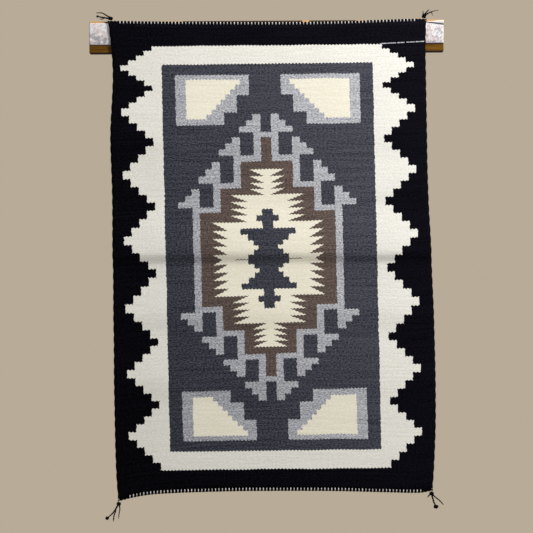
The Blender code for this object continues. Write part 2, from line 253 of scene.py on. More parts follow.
# The tape's tiny hooks
HOOK_SPACING = 0.0012
HOOK_ROW_SPACING = 0.0009
# The crease below the loose upper edge of the tape at the right end, with a painted shadow along it
CREASE_START = 0.318
CREASE_X = 0.3214
CREASE_Z = 0.0269
CREASE_SLOPE = -0.150
CREASE_HALF = 0.0012
LIP_START = 0.328
LIP_TOP = 0.0296

# Yarn colours, linear: the darker and the lighter fibre of each
Yarn = namedtuple("Yarn", "dark light")
YARNS = (
    Yarn((0.0003, 0.0003, 0.0008), (0.0062, 0.0056, 0.0098)),
    Yarn((0.700, 0.690, 0.620), (0.880, 0.870, 0.820)),
    Yarn((0.012, 0.014, 0.022), (0.095, 0.098, 0.122)),
    Yarn((0.200, 0.208, 0.232), (0.620, 0.632, 0.670)),
    Yarn((0.045, 0.033, 0.029), (0.185, 0.138, 0.120)),
    Yarn((0.760, 0.725, 0.580), (0.900, 0.868, 0.735)),
)
BLACK, IVORY, CHARCOAL, GREY, BROWN, CREAM = range(len(YARNS))

# The light from above on the right
KEY_PLACE = (1.55, -1.3, 1.6)
KEY_TARGET = (0.05, 0.0, -0.40)
KEY_SIZE = 0.7
KEY_POWER = 100.0
KEY_COLOUR = (1.0, 0.975, 0.95)

# The photograph's frame
PICTURE_WIDTH = 1.066
PICTURE_X = -0.0025
PICTURE_Z = -0.461
LENS = 100.0
SENSOR = 36.0
ROLL = 0.34


def between(start, end, share):
    return start + (end - start) * share


def through(rows, place_column, value_column, place):
    """Reads a table between its rows, along a smooth curve through them."""
    places = [getattr(row, place_column) for row in rows]
    values = [getattr(row, value_column) for row in rows]
    last = len(rows) - 1

    def slope(index):
        before, after = max(index - 1, 0), min(index + 1, last)
        return (values[after] - values[before]) / (places[after] - places[before])

    place = min(max(place, places[0]), places[last])
    start = min(bisect.bisect_right(places, place) - 1, last - 1)
    span = places[start + 1] - places[start]
    t = (place - places[start]) / span
    return (
        values[start] * (1.0 + 2.0 * t) * (1.0 - t) ** 2
        + values[start + 1] * t * t * (3.0 - 2.0 * t)
        + slope(start) * span * t * (1.0 - t) ** 2
        - slope(start + 1) * span * t * t * (1.0 - t)
    )


def outline_x(side, down):
    return through(SIDE_EDGES, "down", side, down)


def outline_z(end, across):
    return through(END_EDGES, "across", end, across)


RUG_LENGTH = outline_z("top", 0.5) - outline_z("bottom", 0.5)
RUG_WIDTH = outline_x("right", 0.5) - outline_x("left", 0.5)
END_CORD_HALF_TURNS = round(RUG_WIDTH / END_CORD_HALF_TURN)


def fold_share(fold, across):
    """A fold's share of its depth across the rug: a parabola through its three table values."""
    return (
        fold.left * (1.0 - across) * (1.0 - 2.0 * across)
        + fold.middle * 4.0 * across * (1.0 - across)
        + fold.right * across * (2.0 * across - 1.0)
    )


def fold_bulge(fold, distance):
    """1 at the crest and 0 past the slopes. distance is counted downwards from the crest."""
    reach = fold.fall if distance > 0.0 else fold.rise
    if abs(distance) >= reach:
        return 0.0
    return 0.5 * (1.0 + math.cos(math.pi * distance / reach))


def cloth_depth(across, down):
    """How far the rug's middle surface stands forward of the wall."""
    depth = CLOTH_MIDDLE
    for fold in FOLDS:
        bulge = fold_bulge(fold, down * RUG_LENGTH - fold.crest)
        depth += fold.depth * bulge * fold_share(fold, across)
    for curl in LOWER_CURLS:
        away = math.hypot((across - curl.across) * RUG_WIDTH, (1.0 - down) * RUG_LENGTH)
        depth += curl.depth * max(0.0, 1.0 - away / curl.reach) ** 2
    return depth


def outline_point(across, down):
    """A point of the rug with its cords, on its middle surface."""
    return Vector((
        between(outline_x("left", down), outline_x("right", down), across),
        -cloth_depth(across, down),
        between(outline_z("top", across), outline_z("bottom", across), down),
    ))


# Pieces and their meshes

def add_piece(name, shape, material):
    """Turns a bmesh into a smooth-shaded piece of the rug's one body."""
    mesh = bpy.data.meshes.new(name)
    shape.to_mesh(mesh)
    shape.free()
    mesh.materials.append(material)
    mesh.shade_smooth()
    piece = bpy.data.objects.new(name, mesh)
    bpy.context.scene.collection.objects.link(piece)
    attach(piece, "root")
    return piece


def frames_along(points, start):
    """Two directions square to a line at each of its points, turned no more than the line bends."""
    last = len(points) - 1
    result = []
    one = start
    for index in range(len(points)):
        tangent = (points[min(index + 1, last)] - points[max(index - 1, 0)]).normalized()
        one = (one - tangent * one.dot(tangent)).normalized()
        result.append((one, tangent.cross(one)))
    return result


def square_start(points):
    return (points[1] - points[0]).normalized().orthogonal()


def add_tube(shape, points, radii, sides):
    """Adds a closed tube along a line of points."""
    rings = []
    for point, radius, (one, two) in zip(points, radii, frames_along(points, square_start(points))):
        ring = []
        for side in range(sides):
            turn = 2.0 * math.pi * side / sides
            ring.append(shape.verts.new(point + radius * (math.cos(turn) * one + math.sin(turn) * two)))
        rings.append(ring)
    for low, high in zip(rings, rings[1:]):
        for side in range(sides):
            after = (side + 1) % sides
            shape.faces.new((low[side], low[after], high[after], high[side]))
    shape.faces.new(list(reversed(rings[0])))
    shape.faces.new(rings[-1])


def add_plied_cord(shape, points, half_widths, start, half_turns, pinch):
    """Adds yarns that twist round each other, full side by side and pinched where they cross."""
    lines = [[] for _ in range(PLIES)]
    radii = []
    last = len(points) - 1
    for index, (point, (one, two)) in enumerate(zip(points, frames_along(points, start))):
        turned = math.pi * half_turns * index / last
        fullness = half_widths[index] * between(pinch, 1.0, abs(math.cos(turned)))
        radii.append(0.54 * fullness)
        for ply, line in enumerate(lines):
            turn = turned + 2.0 * math.pi * ply / PLIES
            line.append(point + 0.5 * fullness * (math.cos(turn) * one + math.sin(turn) * two))
    for line in lines:
        add_tube(shape, line, radii, SIDES_OF_A_PLY)


def add_fibre(shape, root, direction, length, radius, wobble, chance):
    """Adds one loose fibre of three sides that bends as it goes."""
    points = [root]
    for _ in range(3):
        direction = (direction + wobble * Vector([chance.uniform(-1.0, 1.0) for _ in range(3)])).normalized()
        points.append(points[-1] + direction * length / 3.0)
    add_tube(shape, points, [radius, radius, 0.8 * radius, 0.4 * radius], 3)


# Materials

class Nodes:
    """Adds nodes to one material's tree and links them. A socket or a plain number may go in anywhere."""

    def __init__(self, name):
        self.material = bpy.data.materials.new(name)
        self.material.use_nodes = True
        self.tree = self.material.node_tree
        self.shader = self.tree.nodes["Principled BSDF"]

    def feed(self, socket, value):
        if isinstance(value, bpy.types.NodeSocket):
            self.tree.links.new(value, socket)
        else:
            socket.default_value = value

    def math(self, operation, *values):
        node = self.tree.nodes.new("ShaderNodeMath")
        node.operation = operation
        for socket, value in zip(node.inputs, values):
            self.feed(socket, value)
        return node.outputs[0]

    def times(self, value, factor):
        return self.math("MULTIPLY", value, factor)

    def around(self, value, swing, base):
        """A base that a noise value about one half swings to both sides."""
        return self.math("MULTIPLY_ADD", self.math("SUBTRACT", value, 0.5), swing, base)

    def mix(self, share, low, high):
        """A number between two others."""
        node = self.tree.nodes.new("ShaderNodeMix")
        self.feed(node.inputs[0], share)
        self.feed(node.inputs[2], low)
        self.feed(node.inputs[3], high)
        return node.outputs[0]

    def mix_colours(self, share, low, high, blend="MIX"):
        node = self.tree.nodes.new("ShaderNodeMix")
        node.data_type = "RGBA"
        node.blend_type = blend
        self.feed(node.inputs[0], share)
        for socket, value in ((node.inputs[6], low), (node.inputs[7], high)):
            self.feed(socket, value if isinstance(value, bpy.types.NodeSocket) else (*value, 1.0))
        return node.outputs[2]

    def uv(self, name):
        node = self.tree.nodes.new("ShaderNodeUVMap")
        node.uv_map = name
        apart = self.tree.nodes.new("ShaderNodeSeparateXYZ")
        self.feed(apart.inputs[0], node.outputs[0])
        return apart.outputs[0], apart.outputs[1]

    def place(self):
        """The point's place in the rug's own frame."""
        node = self.tree.nodes.new("ShaderNodeTexCoord")
        return node.outputs["Object"]

    def apart(self, vector):
        node = self.tree.nodes.new("ShaderNodeSeparateXYZ")
        self.feed(node.inputs[0], vector)
        return node.outputs[0], node.outputs[1], node.outputs[2]

    def together(self, x, y, z=0.0):
        node = self.tree.nodes.new("ShaderNodeCombineXYZ")
        for socket, value in zip(node.inputs, (x, y, z)):
            self.feed(socket, value)
        return node.outputs[0]

    def noise(self, vector, scale=1.0, detail=2.0, roughness=0.5):
        node = self.tree.nodes.new("ShaderNodeTexNoise")
        self.feed(node.inputs["Vector"], vector)
        node.inputs["Scale"].default_value = scale
        node.inputs["Detail"].default_value = detail
        node.inputs["Roughness"].default_value = roughness
        return node.outputs[0]

    def ramp(self, value, stops, constant=False):
        node = self.tree.nodes.new("ShaderNodeValToRGB")
        node.color_ramp.interpolation = "CONSTANT" if constant else "LINEAR"
        elements = node.color_ramp.elements
        while len(elements) < len(stops):
            elements.new(1.0)
        for element, (place, colour) in zip(elements, stops):
            element.position = place
            element.color = (*colour, 1.0)
        self.feed(node.inputs[0], value)
        return node.outputs[0]

    def table(self, place, rows, lowest, highest):
        """Reads a short table of millimetres down against a value, along straight runs."""
        node = self.tree.nodes.new("ShaderNodeFloatCurve")
        points = node.mapping.curves[0].points
        for _ in range(len(rows) - 2):
            points.new(0.5, 0.5)
        for point, (down, value) in zip(points, rows):
            point.location = (down / SPAN, (value - lowest) / (highest - lowest))
            point.handle_type = "VECTOR"
        node.mapping.update()
        self.feed(node.inputs["Value"], self.math("DIVIDE", place, SPAN))
        return self.math("MULTIPLY_ADD", node.outputs[0], highest - lowest, lowest)

    def stepped(self, place, steps):
        """A width that changes in steps along place."""
        width = steps[0].width
        for before, step in zip(steps, steps[1:]):
            past = self.math("GREATER_THAN", place, step.beyond)
            width = self.math("MULTIPLY_ADD", past, step.width - before.width, width)
        return width

    def both(self, *masks):
        result = masks[0]
        for mask in masks[1:]:
            result = self.math("MULTIPLY", result, mask)
        return result

    def inside(self, value, low, high):
        return self.math("COMPARE", value, (low + high) / 2.0, (high - low) / 2.0)

    def bump(self, height, distance, strength=1.0):
        node = self.tree.nodes.new("ShaderNodeBump")
        node.inputs["Strength"].default_value = strength
        node.inputs["Distance"].default_value = distance
        self.feed(node.inputs["Height"], height)
        self.tree.links.new(node.outputs[0], self.shader.inputs["Normal"])

    def wool(self, roughness):
        """The shader's own values for dry matt wool."""
        self.shader.inputs["Roughness"].default_value = roughness
        self.shader.inputs["Specular IOR Level"].default_value = 0.05
        self.shader.inputs["Sheen Weight"].default_value = 0.015
        self.shader.inputs["Sheen Roughness"].default_value = 0.4


def yarn_choice(nodes):
    """The number of the yarn that lies at each point of the rug, worked out from the chart."""
    x, down = (nodes.times(part, 1000.0) for part in nodes.uv("Chart"))
    warp, weft = nodes.uv("Weave")
    row = nodes.math("FLOOR", nodes.math("DIVIDE", weft, 2.0 * WEFT_PITCH))
    ragged = nodes.noise(nodes.together(nodes.times(x, 0.01), nodes.times(row, 0.53)), 1.0, 1.0)
    slow = nodes.noise(nodes.together(x, down), 0.018, 1.0)
    x = nodes.around(ragged, EDGE_STAGGER, x)
    x = nodes.around(slow, EDGE_DRIFT, x)
    scallop = nodes.math("SINE", nodes.times(warp, math.pi / WARP_PITCH))
    down = nodes.math("MULTIPLY_ADD", scallop, EDGE_SCALLOP, down)
    down = nodes.around(slow, EDGE_DRIFT, down)

    centre = nodes.math("MULTIPLY_ADD", down, FIELD_DRIFT, FIELD_CENTRE - FIELD_CENTRE_DOWN * FIELD_DRIFT)
    from_field_centre = nodes.math("SUBTRACT", x, centre)
    outward = nodes.math("ABSOLUTE", from_field_centre)
    aside = nodes.math("ABSOLUTE", nodes.math("ADD", from_field_centre, MEDALLION_LEFT_OF_FIELD))
    drop = nodes.table(down, SKEWS, 0.0, 12.0)
    lean = nodes.math("DIVIDE", from_field_centre, SKEW_WIDTH)
    down = nodes.math("MULTIPLY_ADD", drop, lean, down)
    creep = nodes.table(down, CREEPS, -5.0, 5.0)
    off = nodes.math("ABSOLUTE", nodes.math("SUBTRACT", nodes.math("ADD", down, creep), CHART_MIDDLE))

    yarn = stepped_border(nodes, down, outward)
    yarn = field_and_blocks(nodes, yarn, outward, aside, off)
    yarn = stair_and_hooks(nodes, yarn, aside, off)
    yarn = serrated_middle(nodes, yarn, aside, off)
    return outlet_line(nodes, yarn)


def stepped_border(nodes, down, outward):
    """The pale border, whose outer edge is a run of stepped peaks."""
    step = nodes.table(down, BORDER_ROWS, 0.0, 60.0)
    turn = nodes.math("MODULO", nodes.math("FLOOR", step), STEPS_A_PEAK)
    back = nodes.math("ABSOLUTE", nodes.math("SUBTRACT", turn, STEPS_A_PEAK / 2))
    edge = nodes.math("MULTIPLY_ADD", back, -PEAK_STEP, PEAK_REACH)
    pale = nodes.both(nodes.math("LESS_THAN", outward, edge), nodes.inside(down, BORDER_TOP, BORDER_BOTTOM))
    return nodes.mix(pale, BLACK, IVORY)


def field_and_blocks(nodes, yarn, outward, aside, off):
    """The dark field, and in each of its corners a grey block with a cream one inside."""
    field = nodes.both(
        nodes.math("LESS_THAN", outward, FIELD_HALF_WIDTH), nodes.math("LESS_THAN", off, FIELD_HALF_LENGTH)
    )
    yarn = nodes.mix(field, yarn, CHARCOAL)
    block = nodes.both(
        nodes.math("LESS_THAN", outward, BLOCK_OUTER),
        nodes.inside(off, BLOCK_NEAR, BLOCK_FAR),
        nodes.math("GREATER_THAN", aside, nodes.stepped(off, BLOCK_INNER)),
    )
    yarn = nodes.mix(block, yarn, GREY)
    count = nodes.math("FLOOR", nodes.math("DIVIDE", nodes.math("SUBTRACT", INSET_FAR, off), INSET_STEP_TALL))
    edge = nodes.math("MULTIPLY_ADD", count, INSET_STEP_WIDE, INSET_EDGE)
    inset = nodes.both(
        nodes.math("LESS_THAN", outward, INSET_OUTER),
        nodes.inside(off, INSET_NEAR, INSET_FAR),
        nodes.math("GREATER_THAN", aside, edge),
    )
    return nodes.mix(inset, yarn, CREAM)


def stair_edge(nodes, off, top, first):
    """Half width of a stepped diamond at a distance from the middle. It is below zero past the top."""
    level = nodes.math("CEIL", nodes.math("DIVIDE", nodes.math("SUBTRACT", top, off), STAIR_RISE))
    level = nodes.math("MINIMUM", level, STAIR_LEVELS)
    above = nodes.math("LESS_THAN", level, 0.5)
    edge = nodes.math("MULTIPLY_ADD", level, STAIR_RUN, first - STAIR_RUN)
    return nodes.math("MULTIPLY_ADD", above, -1000.0, edge)


def stair_and_hooks(nodes, yarn, aside, off):
    """The stepped grey outline of the middle figure, with a stepped hook on each of its stairs."""
    outside = nodes.math("SUBTRACT", off, STAIR_TOP - (STAIR_LEVELS - 1) * STAIR_RISE)
    stair = nodes.math("FLOOR", nodes.math("DIVIDE", outside, STAIR_RISE))
    above_stair = nodes.math("MULTIPLY_ADD", stair, -STAIR_RISE, outside)
    start = nodes.math("MULTIPLY_ADD", stair, -STAIR_RUN, STAIR_FIRST - RISER_WIDTH + 3 * STAIR_RUN)
    reach = nodes.math("SUBTRACT", aside, start)
    hook = nodes.both(
        nodes.inside(stair, 0.0, STAIR_LEVELS - 1),
        nodes.math("GREATER_THAN", reach, 0.0),
        nodes.math("LESS_THAN", reach, nodes.stepped(above_stair, HOOK_WIDTH)),
    )
    outer = nodes.math("LESS_THAN", aside, stair_edge(nodes, off, STAIR_TOP, STAIR_FIRST))
    yarn = nodes.mix(nodes.math("MAXIMUM", hook, outer), yarn, GREY)
    inner_edge = stair_edge(nodes, off, STAIR_TOP - BAND_THICKNESS, STAIR_FIRST - RISER_WIDTH)
    return nodes.mix(nodes.math("LESS_THAN", aside, inner_edge), yarn, BROWN)


def serrated_middle(nodes, yarn, aside, off):
    """The cream figure with its toothed sides, and the dark one in its middle."""
    reach, tip, depth, pitch = TEETH[0]
    for before, level in zip(TEETH, TEETH[1:]):
        within = nodes.math("LESS_THAN", off, level.reach)
        reach = nodes.math("MULTIPLY_ADD", within, level.reach - before.reach, reach)
        tip = nodes.math("MULTIPLY_ADD", within, level.tip - before.tip, tip)
        depth = nodes.math("MULTIPLY_ADD", within, level.depth - before.depth, depth)
        pitch = nodes.math("MULTIPLY_ADD", within, level.pitch - before.pitch, pitch)
    along = nodes.math("FRACT", nodes.math("DIVIDE", nodes.math("SUBTRACT", reach, off), pitch))
    edge = nodes.math("SUBTRACT", tip, nodes.times(depth, along))
    cream = nodes.both(nodes.math("LESS_THAN", aside, edge), nodes.math("LESS_THAN", off, TEETH[0].reach))
    yarn = nodes.mix(cream, yarn, CREAM)
    figure = nodes.math("LESS_THAN", aside, nodes.stepped(off, MIDDLE_FIGURE))
    return nodes.mix(figure, yarn, CHARCOAL)


def outlet_line(nodes, yarn):
    """One light row of yarn, half hidden between the warps, that leads through the border to the edge."""
    x, down = (nodes.times(part, 1000.0) for part in nodes.uv("Chart"))
    run = nodes.math("SUBTRACT", x, OUTLET_START)
    below = nodes.math("SUBTRACT", down, OUTLET_DOWN)
    off_line = nodes.math("ADD", below, nodes.times(run, OUTLET_SLOPE))
    seen = nodes.noise(nodes.together(nodes.times(x, 0.16), 5.0), 1.0, 1.0)
    line = nodes.both(
        nodes.math("GREATER_THAN", run, 0.0),
        nodes.math("LESS_THAN", nodes.math("ABSOLUTE", off_line), OUTLET_HALF),
        nodes.math("GREATER_THAN", seen, 0.42),
    )
    return nodes.mix(line, yarn, GREY)


def rug_material():
    """Heathered hand-spun wool, woven in beads over the warps, with painted light that makes it lighter
    towards the upper right.
    """
    nodes = Nodes("woven_wool")
    warp, weft = nodes.uv("Weave")
    bead = weave_beads(nodes, warp, weft)
    spun = nodes.noise(
        nodes.together(nodes.times(warp, 260.0), nodes.times(weft, 470.0)), 1.0, 2.5, 0.65
    )
    dyed = nodes.noise(
        nodes.together(nodes.times(warp, 9.0), nodes.times(weft, 240.0), 3.0), 1.0, 2.0
    )
    share = nodes.around(spun, 3.6, 0.28)
    share = nodes.around(dyed, 0.9, share)
    # Painted light: the lighter fibre's share grows towards the right and towards the top, where the light
    # from the upper right falls brighter
    share = nodes.math("MULTIPLY_ADD", warp, 0.50, share)
    share = nodes.math("MULTIPLY_ADD", weft, -0.16, share)
    share = nodes.math("ADD", share, 0.10)
    share = nodes.math("MINIMUM", nodes.math("MAXIMUM", share, 0.0), 1.0)

    place = nodes.math("MULTIPLY_ADD", yarn_choice(nodes), 1.0 / len(YARNS), 0.5 / len(YARNS))
    dark = nodes.ramp(place, [(number / len(YARNS), yarn.dark) for number, yarn in enumerate(YARNS)], True)
    light = nodes.ramp(place, [(number / len(YARNS), yarn.light) for number, yarn in enumerate(YARNS)], True)
    nodes.feed(nodes.shader.inputs["Base Color"], nodes.mix_colours(share, dark, light))
    nodes.shader.inputs["Roughness"].default_value = 0.95
    nodes.shader.inputs["Specular IOR Level"].default_value = 0.03
    uneven = nodes.noise(
        nodes.together(nodes.times(warp, 28.0), nodes.times(weft, 150.0), 7.0), 1.0, 2.0
    )
    height = nodes.math("MULTIPLY_ADD", spun, 0.6, bead)
    nodes.bump(nodes.math("MULTIPLY_ADD", uneven, 1.6, height), 0.0006, 0.55)
    return nodes.material


def weave_beads(nodes, warp, weft):
    """The height of the weft beads, which are offset by half on every other warp."""
    strand = nodes.math("FLOOR", nodes.math("DIVIDE", warp, WARP_PITCH))
    odd = nodes.math("MODULO", strand, 2.0)
    passes = nodes.math("DIVIDE", weft, WEFT_PITCH)
    return nodes.math("PINGPONG", nodes.math("MULTIPLY_ADD", odd, 0.5, passes), 0.5)


def black_yarn_material():
    nodes = Nodes("black_wool_yarn")
    fibre = nodes.noise(nodes.place(), 900.0, 3.0, 0.6)
    nodes.feed(nodes.shader.inputs["Base Color"],
               nodes.ramp(fibre, [(0.3, (0.0006, 0.0006, 0.0010)), (0.75, (0.0050, 0.0046, 0.0062))]))
    nodes.wool(0.9)
    nodes.bump(fibre, 0.0004, 0.6)
    return nodes.material


def warp_loop_material():
    nodes = Nodes("light_warp_yarn")
    fibre = nodes.noise(nodes.place(), 700.0, 2.0)
    nodes.feed(nodes.shader.inputs["Base Color"],
               nodes.ramp(fibre, [(0.3, (0.42, 0.40, 0.38)), (0.7, (0.80, 0.77, 0.73))]))
    nodes.wool(0.9)
    nodes.bump(fibre, 0.0003, 0.5)
    return nodes.material


def wood_material():
    """Brown stained softwood with its grain along the batten. Its top edge is light orange in places, where
    the stain is worn off, with painted highlight of the light from above, and darker elsewhere; a painted
    shade line runs along its bottom.
    """
    nodes = Nodes("stained_wood")
    x, y, z = nodes.apart(nodes.place())
    stretched = nodes.together(
        nodes.times(x, 7.0), nodes.times(y, 160.0), nodes.times(z, 160.0)
    )
    grain = nodes.noise(stretched, 1.0, 5.0, 0.65)
    fleck = nodes.noise(stretched, 5.0, 2.0, 0.5)
    grain = nodes.around(fleck, 0.5, grain)
    body = nodes.ramp(grain, [
        (0.32, (0.078, 0.030, 0.0030)), (0.52, (0.135, 0.061, 0.0050)), (0.72, (0.190, 0.100, 0.0110)),
    ])
    # Painted highlight and wear: the top edge is light orange where the stain is worn off and the light from
    # above falls on it; elsewhere it is darker than the face
    worn_and_lit = nodes.ramp(grain, [(0.30, (0.360, 0.165, 0.040)), (0.70, (0.760, 0.440, 0.170))])
    top = BATTEN_HEIGHT / 2.0
    ragged = nodes.around(grain, 0.0010, z)
    edge = nodes.math("GREATER_THAN", ragged, top - TAPE_BELOW_BATTEN_TOP - 0.0002)
    patches = 0.0
    for patch in WORN_AND_LIT_PATCHES:
        patches = nodes.math("ADD", patches, nodes.inside(x, patch.start, patch.end))
    top_edge = nodes.mix_colours(patches, (0.045, 0.026, 0.012), worn_and_lit)
    colour = nodes.mix_colours(edge, body, top_edge)
    # Painted shade: a near-black line along the bottom of the face, where the underside lies in shadow
    bottom = nodes.math("LESS_THAN", ragged, 0.0016 - top)
    nodes.feed(nodes.shader.inputs["Base Color"], nodes.mix_colours(bottom, colour, (0.022, 0.007, 0.002)))
    nodes.shader.inputs["Roughness"].default_value = 0.65
    nodes.shader.inputs["Specular IOR Level"].default_value = 0.08
    nodes.bump(grain, 0.0004, 0.5)
    return nodes.material


def tape_material():
    """White hook tape: rows of tiny hooks, with pinkish and grey lint caught in them, greyer towards the
    bottom, and a painted shadow along the crease at the right end.
    """
    nodes = Nodes("hook_tape_white")
    place = nodes.place()
    x, y, z = nodes.apart(place)
    hooks = nodes.math(
        "MULTIPLY",
        nodes.math("SINE", nodes.times(x, math.pi / HOOK_SPACING)),
        nodes.math("SINE", nodes.times(z, math.pi / HOOK_ROW_SPACING)),
    )
    tape_top = BATTEN_HEIGHT / 2.0 - TAPE_BELOW_BATTEN_TOP
    low_down = nodes.math("DIVIDE", nodes.math("SUBTRACT", tape_top, z), TAPE_HEIGHT)
    lint = nodes.noise(place, 105.0, 3.0, 0.6)
    tint = nodes.noise(place, 42.0, 1.0)
    # Greyer towards the bottom, with blotches of lint
    greying = nodes.math("MULTIPLY_ADD", low_down, 0.30, nodes.math("MULTIPLY_ADD", lint, 1.5, -0.75))
    share = nodes.ramp(greying, [(0.02, (0.0, 0.0, 0.0)), (0.42, (1.0, 1.0, 1.0))])
    pink = nodes.ramp(tint, [(0.4, (0.0, 0.0, 0.0)), (0.6, (1.0, 1.0, 1.0))])
    clean = nodes.mix_colours(pink, (0.84, 0.84, 0.86), (0.88, 0.80, 0.80))
    greyed = nodes.mix_colours(pink, (0.34, 0.33, 0.34), (0.50, 0.40, 0.39))
    colour = nodes.mix_colours(share, clean, greyed)
    lower_edge = nodes.math("LESS_THAN", z, tape_top - TAPE_HEIGHT + 0.0022)
    colour = nodes.mix_colours(nodes.times(lower_edge, 0.7), colour, (0.46, 0.43, 0.52))
    # Painted shadow: a dark line along the crease below the loose upper edge at the right end
    crease = nodes.math("MULTIPLY_ADD", x, CREASE_SLOPE, CREASE_Z - CREASE_X * CREASE_SLOPE)
    off_crease = nodes.math("ABSOLUTE", nodes.math("SUBTRACT", z, crease))
    painted_crease_shadow = nodes.both(
        nodes.math("LESS_THAN", off_crease, CREASE_HALF),
        nodes.math("GREATER_THAN", x, CREASE_START),
    )
    nodes.feed(nodes.shader.inputs["Base Color"], nodes.mix_colours(painted_crease_shadow, colour, (0.10, 0.095, 0.095)))
    nodes.shader.inputs["Roughness"].default_value = 0.75
    nodes.shader.inputs["Specular IOR Level"].default_value = 0.2
    nodes.bump(hooks, 0.0005, 0.5)
    return nodes.material


def lip_material():
    nodes = Nodes("hook_tape_edge")
    nodes.shader.inputs["Base Color"].default_value = (0.90, 0.86, 0.85, 1.0)
    nodes.shader.inputs["Roughness"].default_value = 0.75
    nodes.shader.inputs["Specular IOR Level"].default_value = 0.2
    return nodes.material


def lint_material():
    nodes = Nodes("lint")
    tint = nodes.noise(nodes.place(), 260.0, 1.0)
    nodes.feed(nodes.shader.inputs["Base Color"],
               nodes.ramp(tint, [
                   (0.35, (0.16, 0.16, 0.17)), (0.55, (0.42, 0.33, 0.34)), (0.70, (0.60, 0.58, 0.60)),
               ]))
    nodes.wool(0.95)
    return nodes.material


# The rug

def row_places():
    """How far down each row of the cloth's mesh lies, closer together on the steep side of the folds."""
    parts = 2000
    passed = [0.0]
    for part in range(parts):
        distance = RUG_LENGTH * (part + 0.5) / parts
        steep = any(-0.012 < distance - fold.crest < fold.fall for fold in FOLDS)
        passed.append(passed[-1] + (FOLD_ROW_DENSITY if steep else 1.0))
    shares = [passed[-1] * row / CLOTH_ROWS for row in range(CLOTH_ROWS + 1)]
    return [bisect.bisect_left(passed, share) / parts for share in shares]


def build_rug(material):
    """The woven cloth: an open sheet on the folds, thickened more on the warps than between them."""
    columns = 2 * round((RUG_WIDTH - 2.0 * SIDE_INSET) / WARP_PITCH)
    places = row_places()
    shape = bmesh.new()
    bmesh.ops.create_grid(shape, x_segments=columns, y_segments=CLOTH_ROWS, size=0.5)
    chart = shape.loops.layers.uv.new("Chart")
    weave = shape.loops.layers.uv.new("Weave")
    bake = shape.loops.layers.uv.new("OFBake")
    thickness = shape.verts.layers.deform.new()
    side = (SIDE_INSET - CLOTH_UNDER_CORD) / RUG_WIDTH
    end = (END_INSET - CLOTH_UNDER_CORD) / RUG_LENGTH
    for vertex in shape.verts:
        even_across, even_down = vertex.co.x + 0.5, 0.5 - vertex.co.y
        column, row = round(even_across * columns), round(even_down * CLOTH_ROWS)
        across = between(side, 1.0 - side, even_across)
        down = between(end, 1.0 - end, places[row])
        share = 1.0 if column % 2 else VALLEY_SHARE
        if column in (0, columns) or row in (0, CLOTH_ROWS):
            share = RIM_SHARE
        vertex[thickness][0] = share
        for loop in vertex.link_loops:
            loop[weave].uv = (across * RUG_WIDTH, down * RUG_LENGTH)
            loop[bake].uv = (between(0.01, 0.99, even_across), between(0.99, 0.01, places[row]))
        vertex.co = outline_point(across, down)
        cockle = noise.noise(Vector((vertex.co.x, 0.0, vertex.co.z)) / COCKLE_LENGTH)
        vertex.co.y -= COCKLING * (cockle + 0.4)
        for loop in vertex.link_loops:
            loop[chart].uv = (vertex.co.x, -vertex.co.z)
    rug = add_piece("woven_rug", shape, material)
    rug.vertex_groups.new(name="thickness")
    thicken = rug.modifiers.new("thickness", "SOLIDIFY")
    thicken.thickness = CLOTH_THICKNESS
    thicken.offset = 0.0
    thicken.vertex_group = "thickness"
    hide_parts("rug_cloth")
    return rug


# The cords along the edges

def build_end_cord(end, down, material):
    """The two-ply cord twined along the top or bottom end."""
    centre = between(-END_CORD_WIDE, END_CORD_WIDE, down)
    count = END_CORD_HALF_TURNS * SECTIONS_A_HALF_TURN
    points = [outline_point(index / count, down) + Vector((0.0, 0.0, centre)) for index in range(count + 1)]
    shape = bmesh.new()
    half_widths = [END_CORD_WIDE] * len(points)
    add_plied_cord(shape, points, half_widths, Vector((0.0, 0.0, 1.0)), END_CORD_HALF_TURNS, END_CORD_PINCH)
    cord = add_piece("twined_cord_" + end, shape, material)
    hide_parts("end_cord_" + end)
    return cord


def build_selvage_cord(side, across, material):
    """The long-twist cord along one side, between the end cords."""
    centre = between(SELVAGE_CORD_WIDE, -SELVAGE_CORD_WIDE, across)
    inner = across + 2.0 * centre / RUG_WIDTH
    past_end_cord = 2.0 * END_CORD_WIDE + 2.0 * GAP
    top, bottom = outline_z("top", across), outline_z("bottom", across)
    top_end = min(top, outline_z("top", inner)) - past_end_cord
    bottom_end = max(bottom, outline_z("bottom", inner)) + past_end_cord
    half_turns = round((top_end - bottom_end) / SELVAGE_CORD_HALF_TURN)
    count = half_turns * SECTIONS_A_HALF_TURN
    points = []
    for index in range(count + 1):
        down = (between(top_end, bottom_end, index / count) - top) / (bottom - top)
        points.append(outline_point(across, down) + Vector((centre, 0.0, 0.0)))
    shape = bmesh.new()
    half_widths = [SELVAGE_CORD_WIDE] * len(points)
    add_plied_cord(shape, points, half_widths, Vector((1.0, 0.0, 0.0)), half_turns, SELVAGE_CORD_PINCH)
    cord = add_piece("side_cord_" + side, shape, material)
    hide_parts("selvage_cord_" + side)
    return cord


def build_warp_loops(end, down, material):
    """The ends of the light warps, which show as dots where the plies of the end cord cross."""
    chance = random.Random(end)
    shape = bmesh.new()
    inward = between(-1.0, 1.0, down)
    for twist in range(TWISTS_WITHOUT_LOOP, END_CORD_HALF_TURNS - TWISTS_WITHOUT_LOOP):
        edge = outline_point((twist + 0.5) / END_CORD_HALF_TURNS, down)
        deeper = LOWER_LOOPS_INWARD * down
        points = []
        for stop in WARP_LOOP:
            points.append(edge + MM * Vector((0.0, -stop.forward, inward * (stop.inward + deeper))))
        radius = WARP_LOOP_RADIUS * chance.uniform(0.75, 1.15)
        add_tube(shape, points, [radius * stop.radius for stop in WARP_LOOP], 6)
    return add_piece("warp_loops_" + end, shape, material)


# The corner tassels

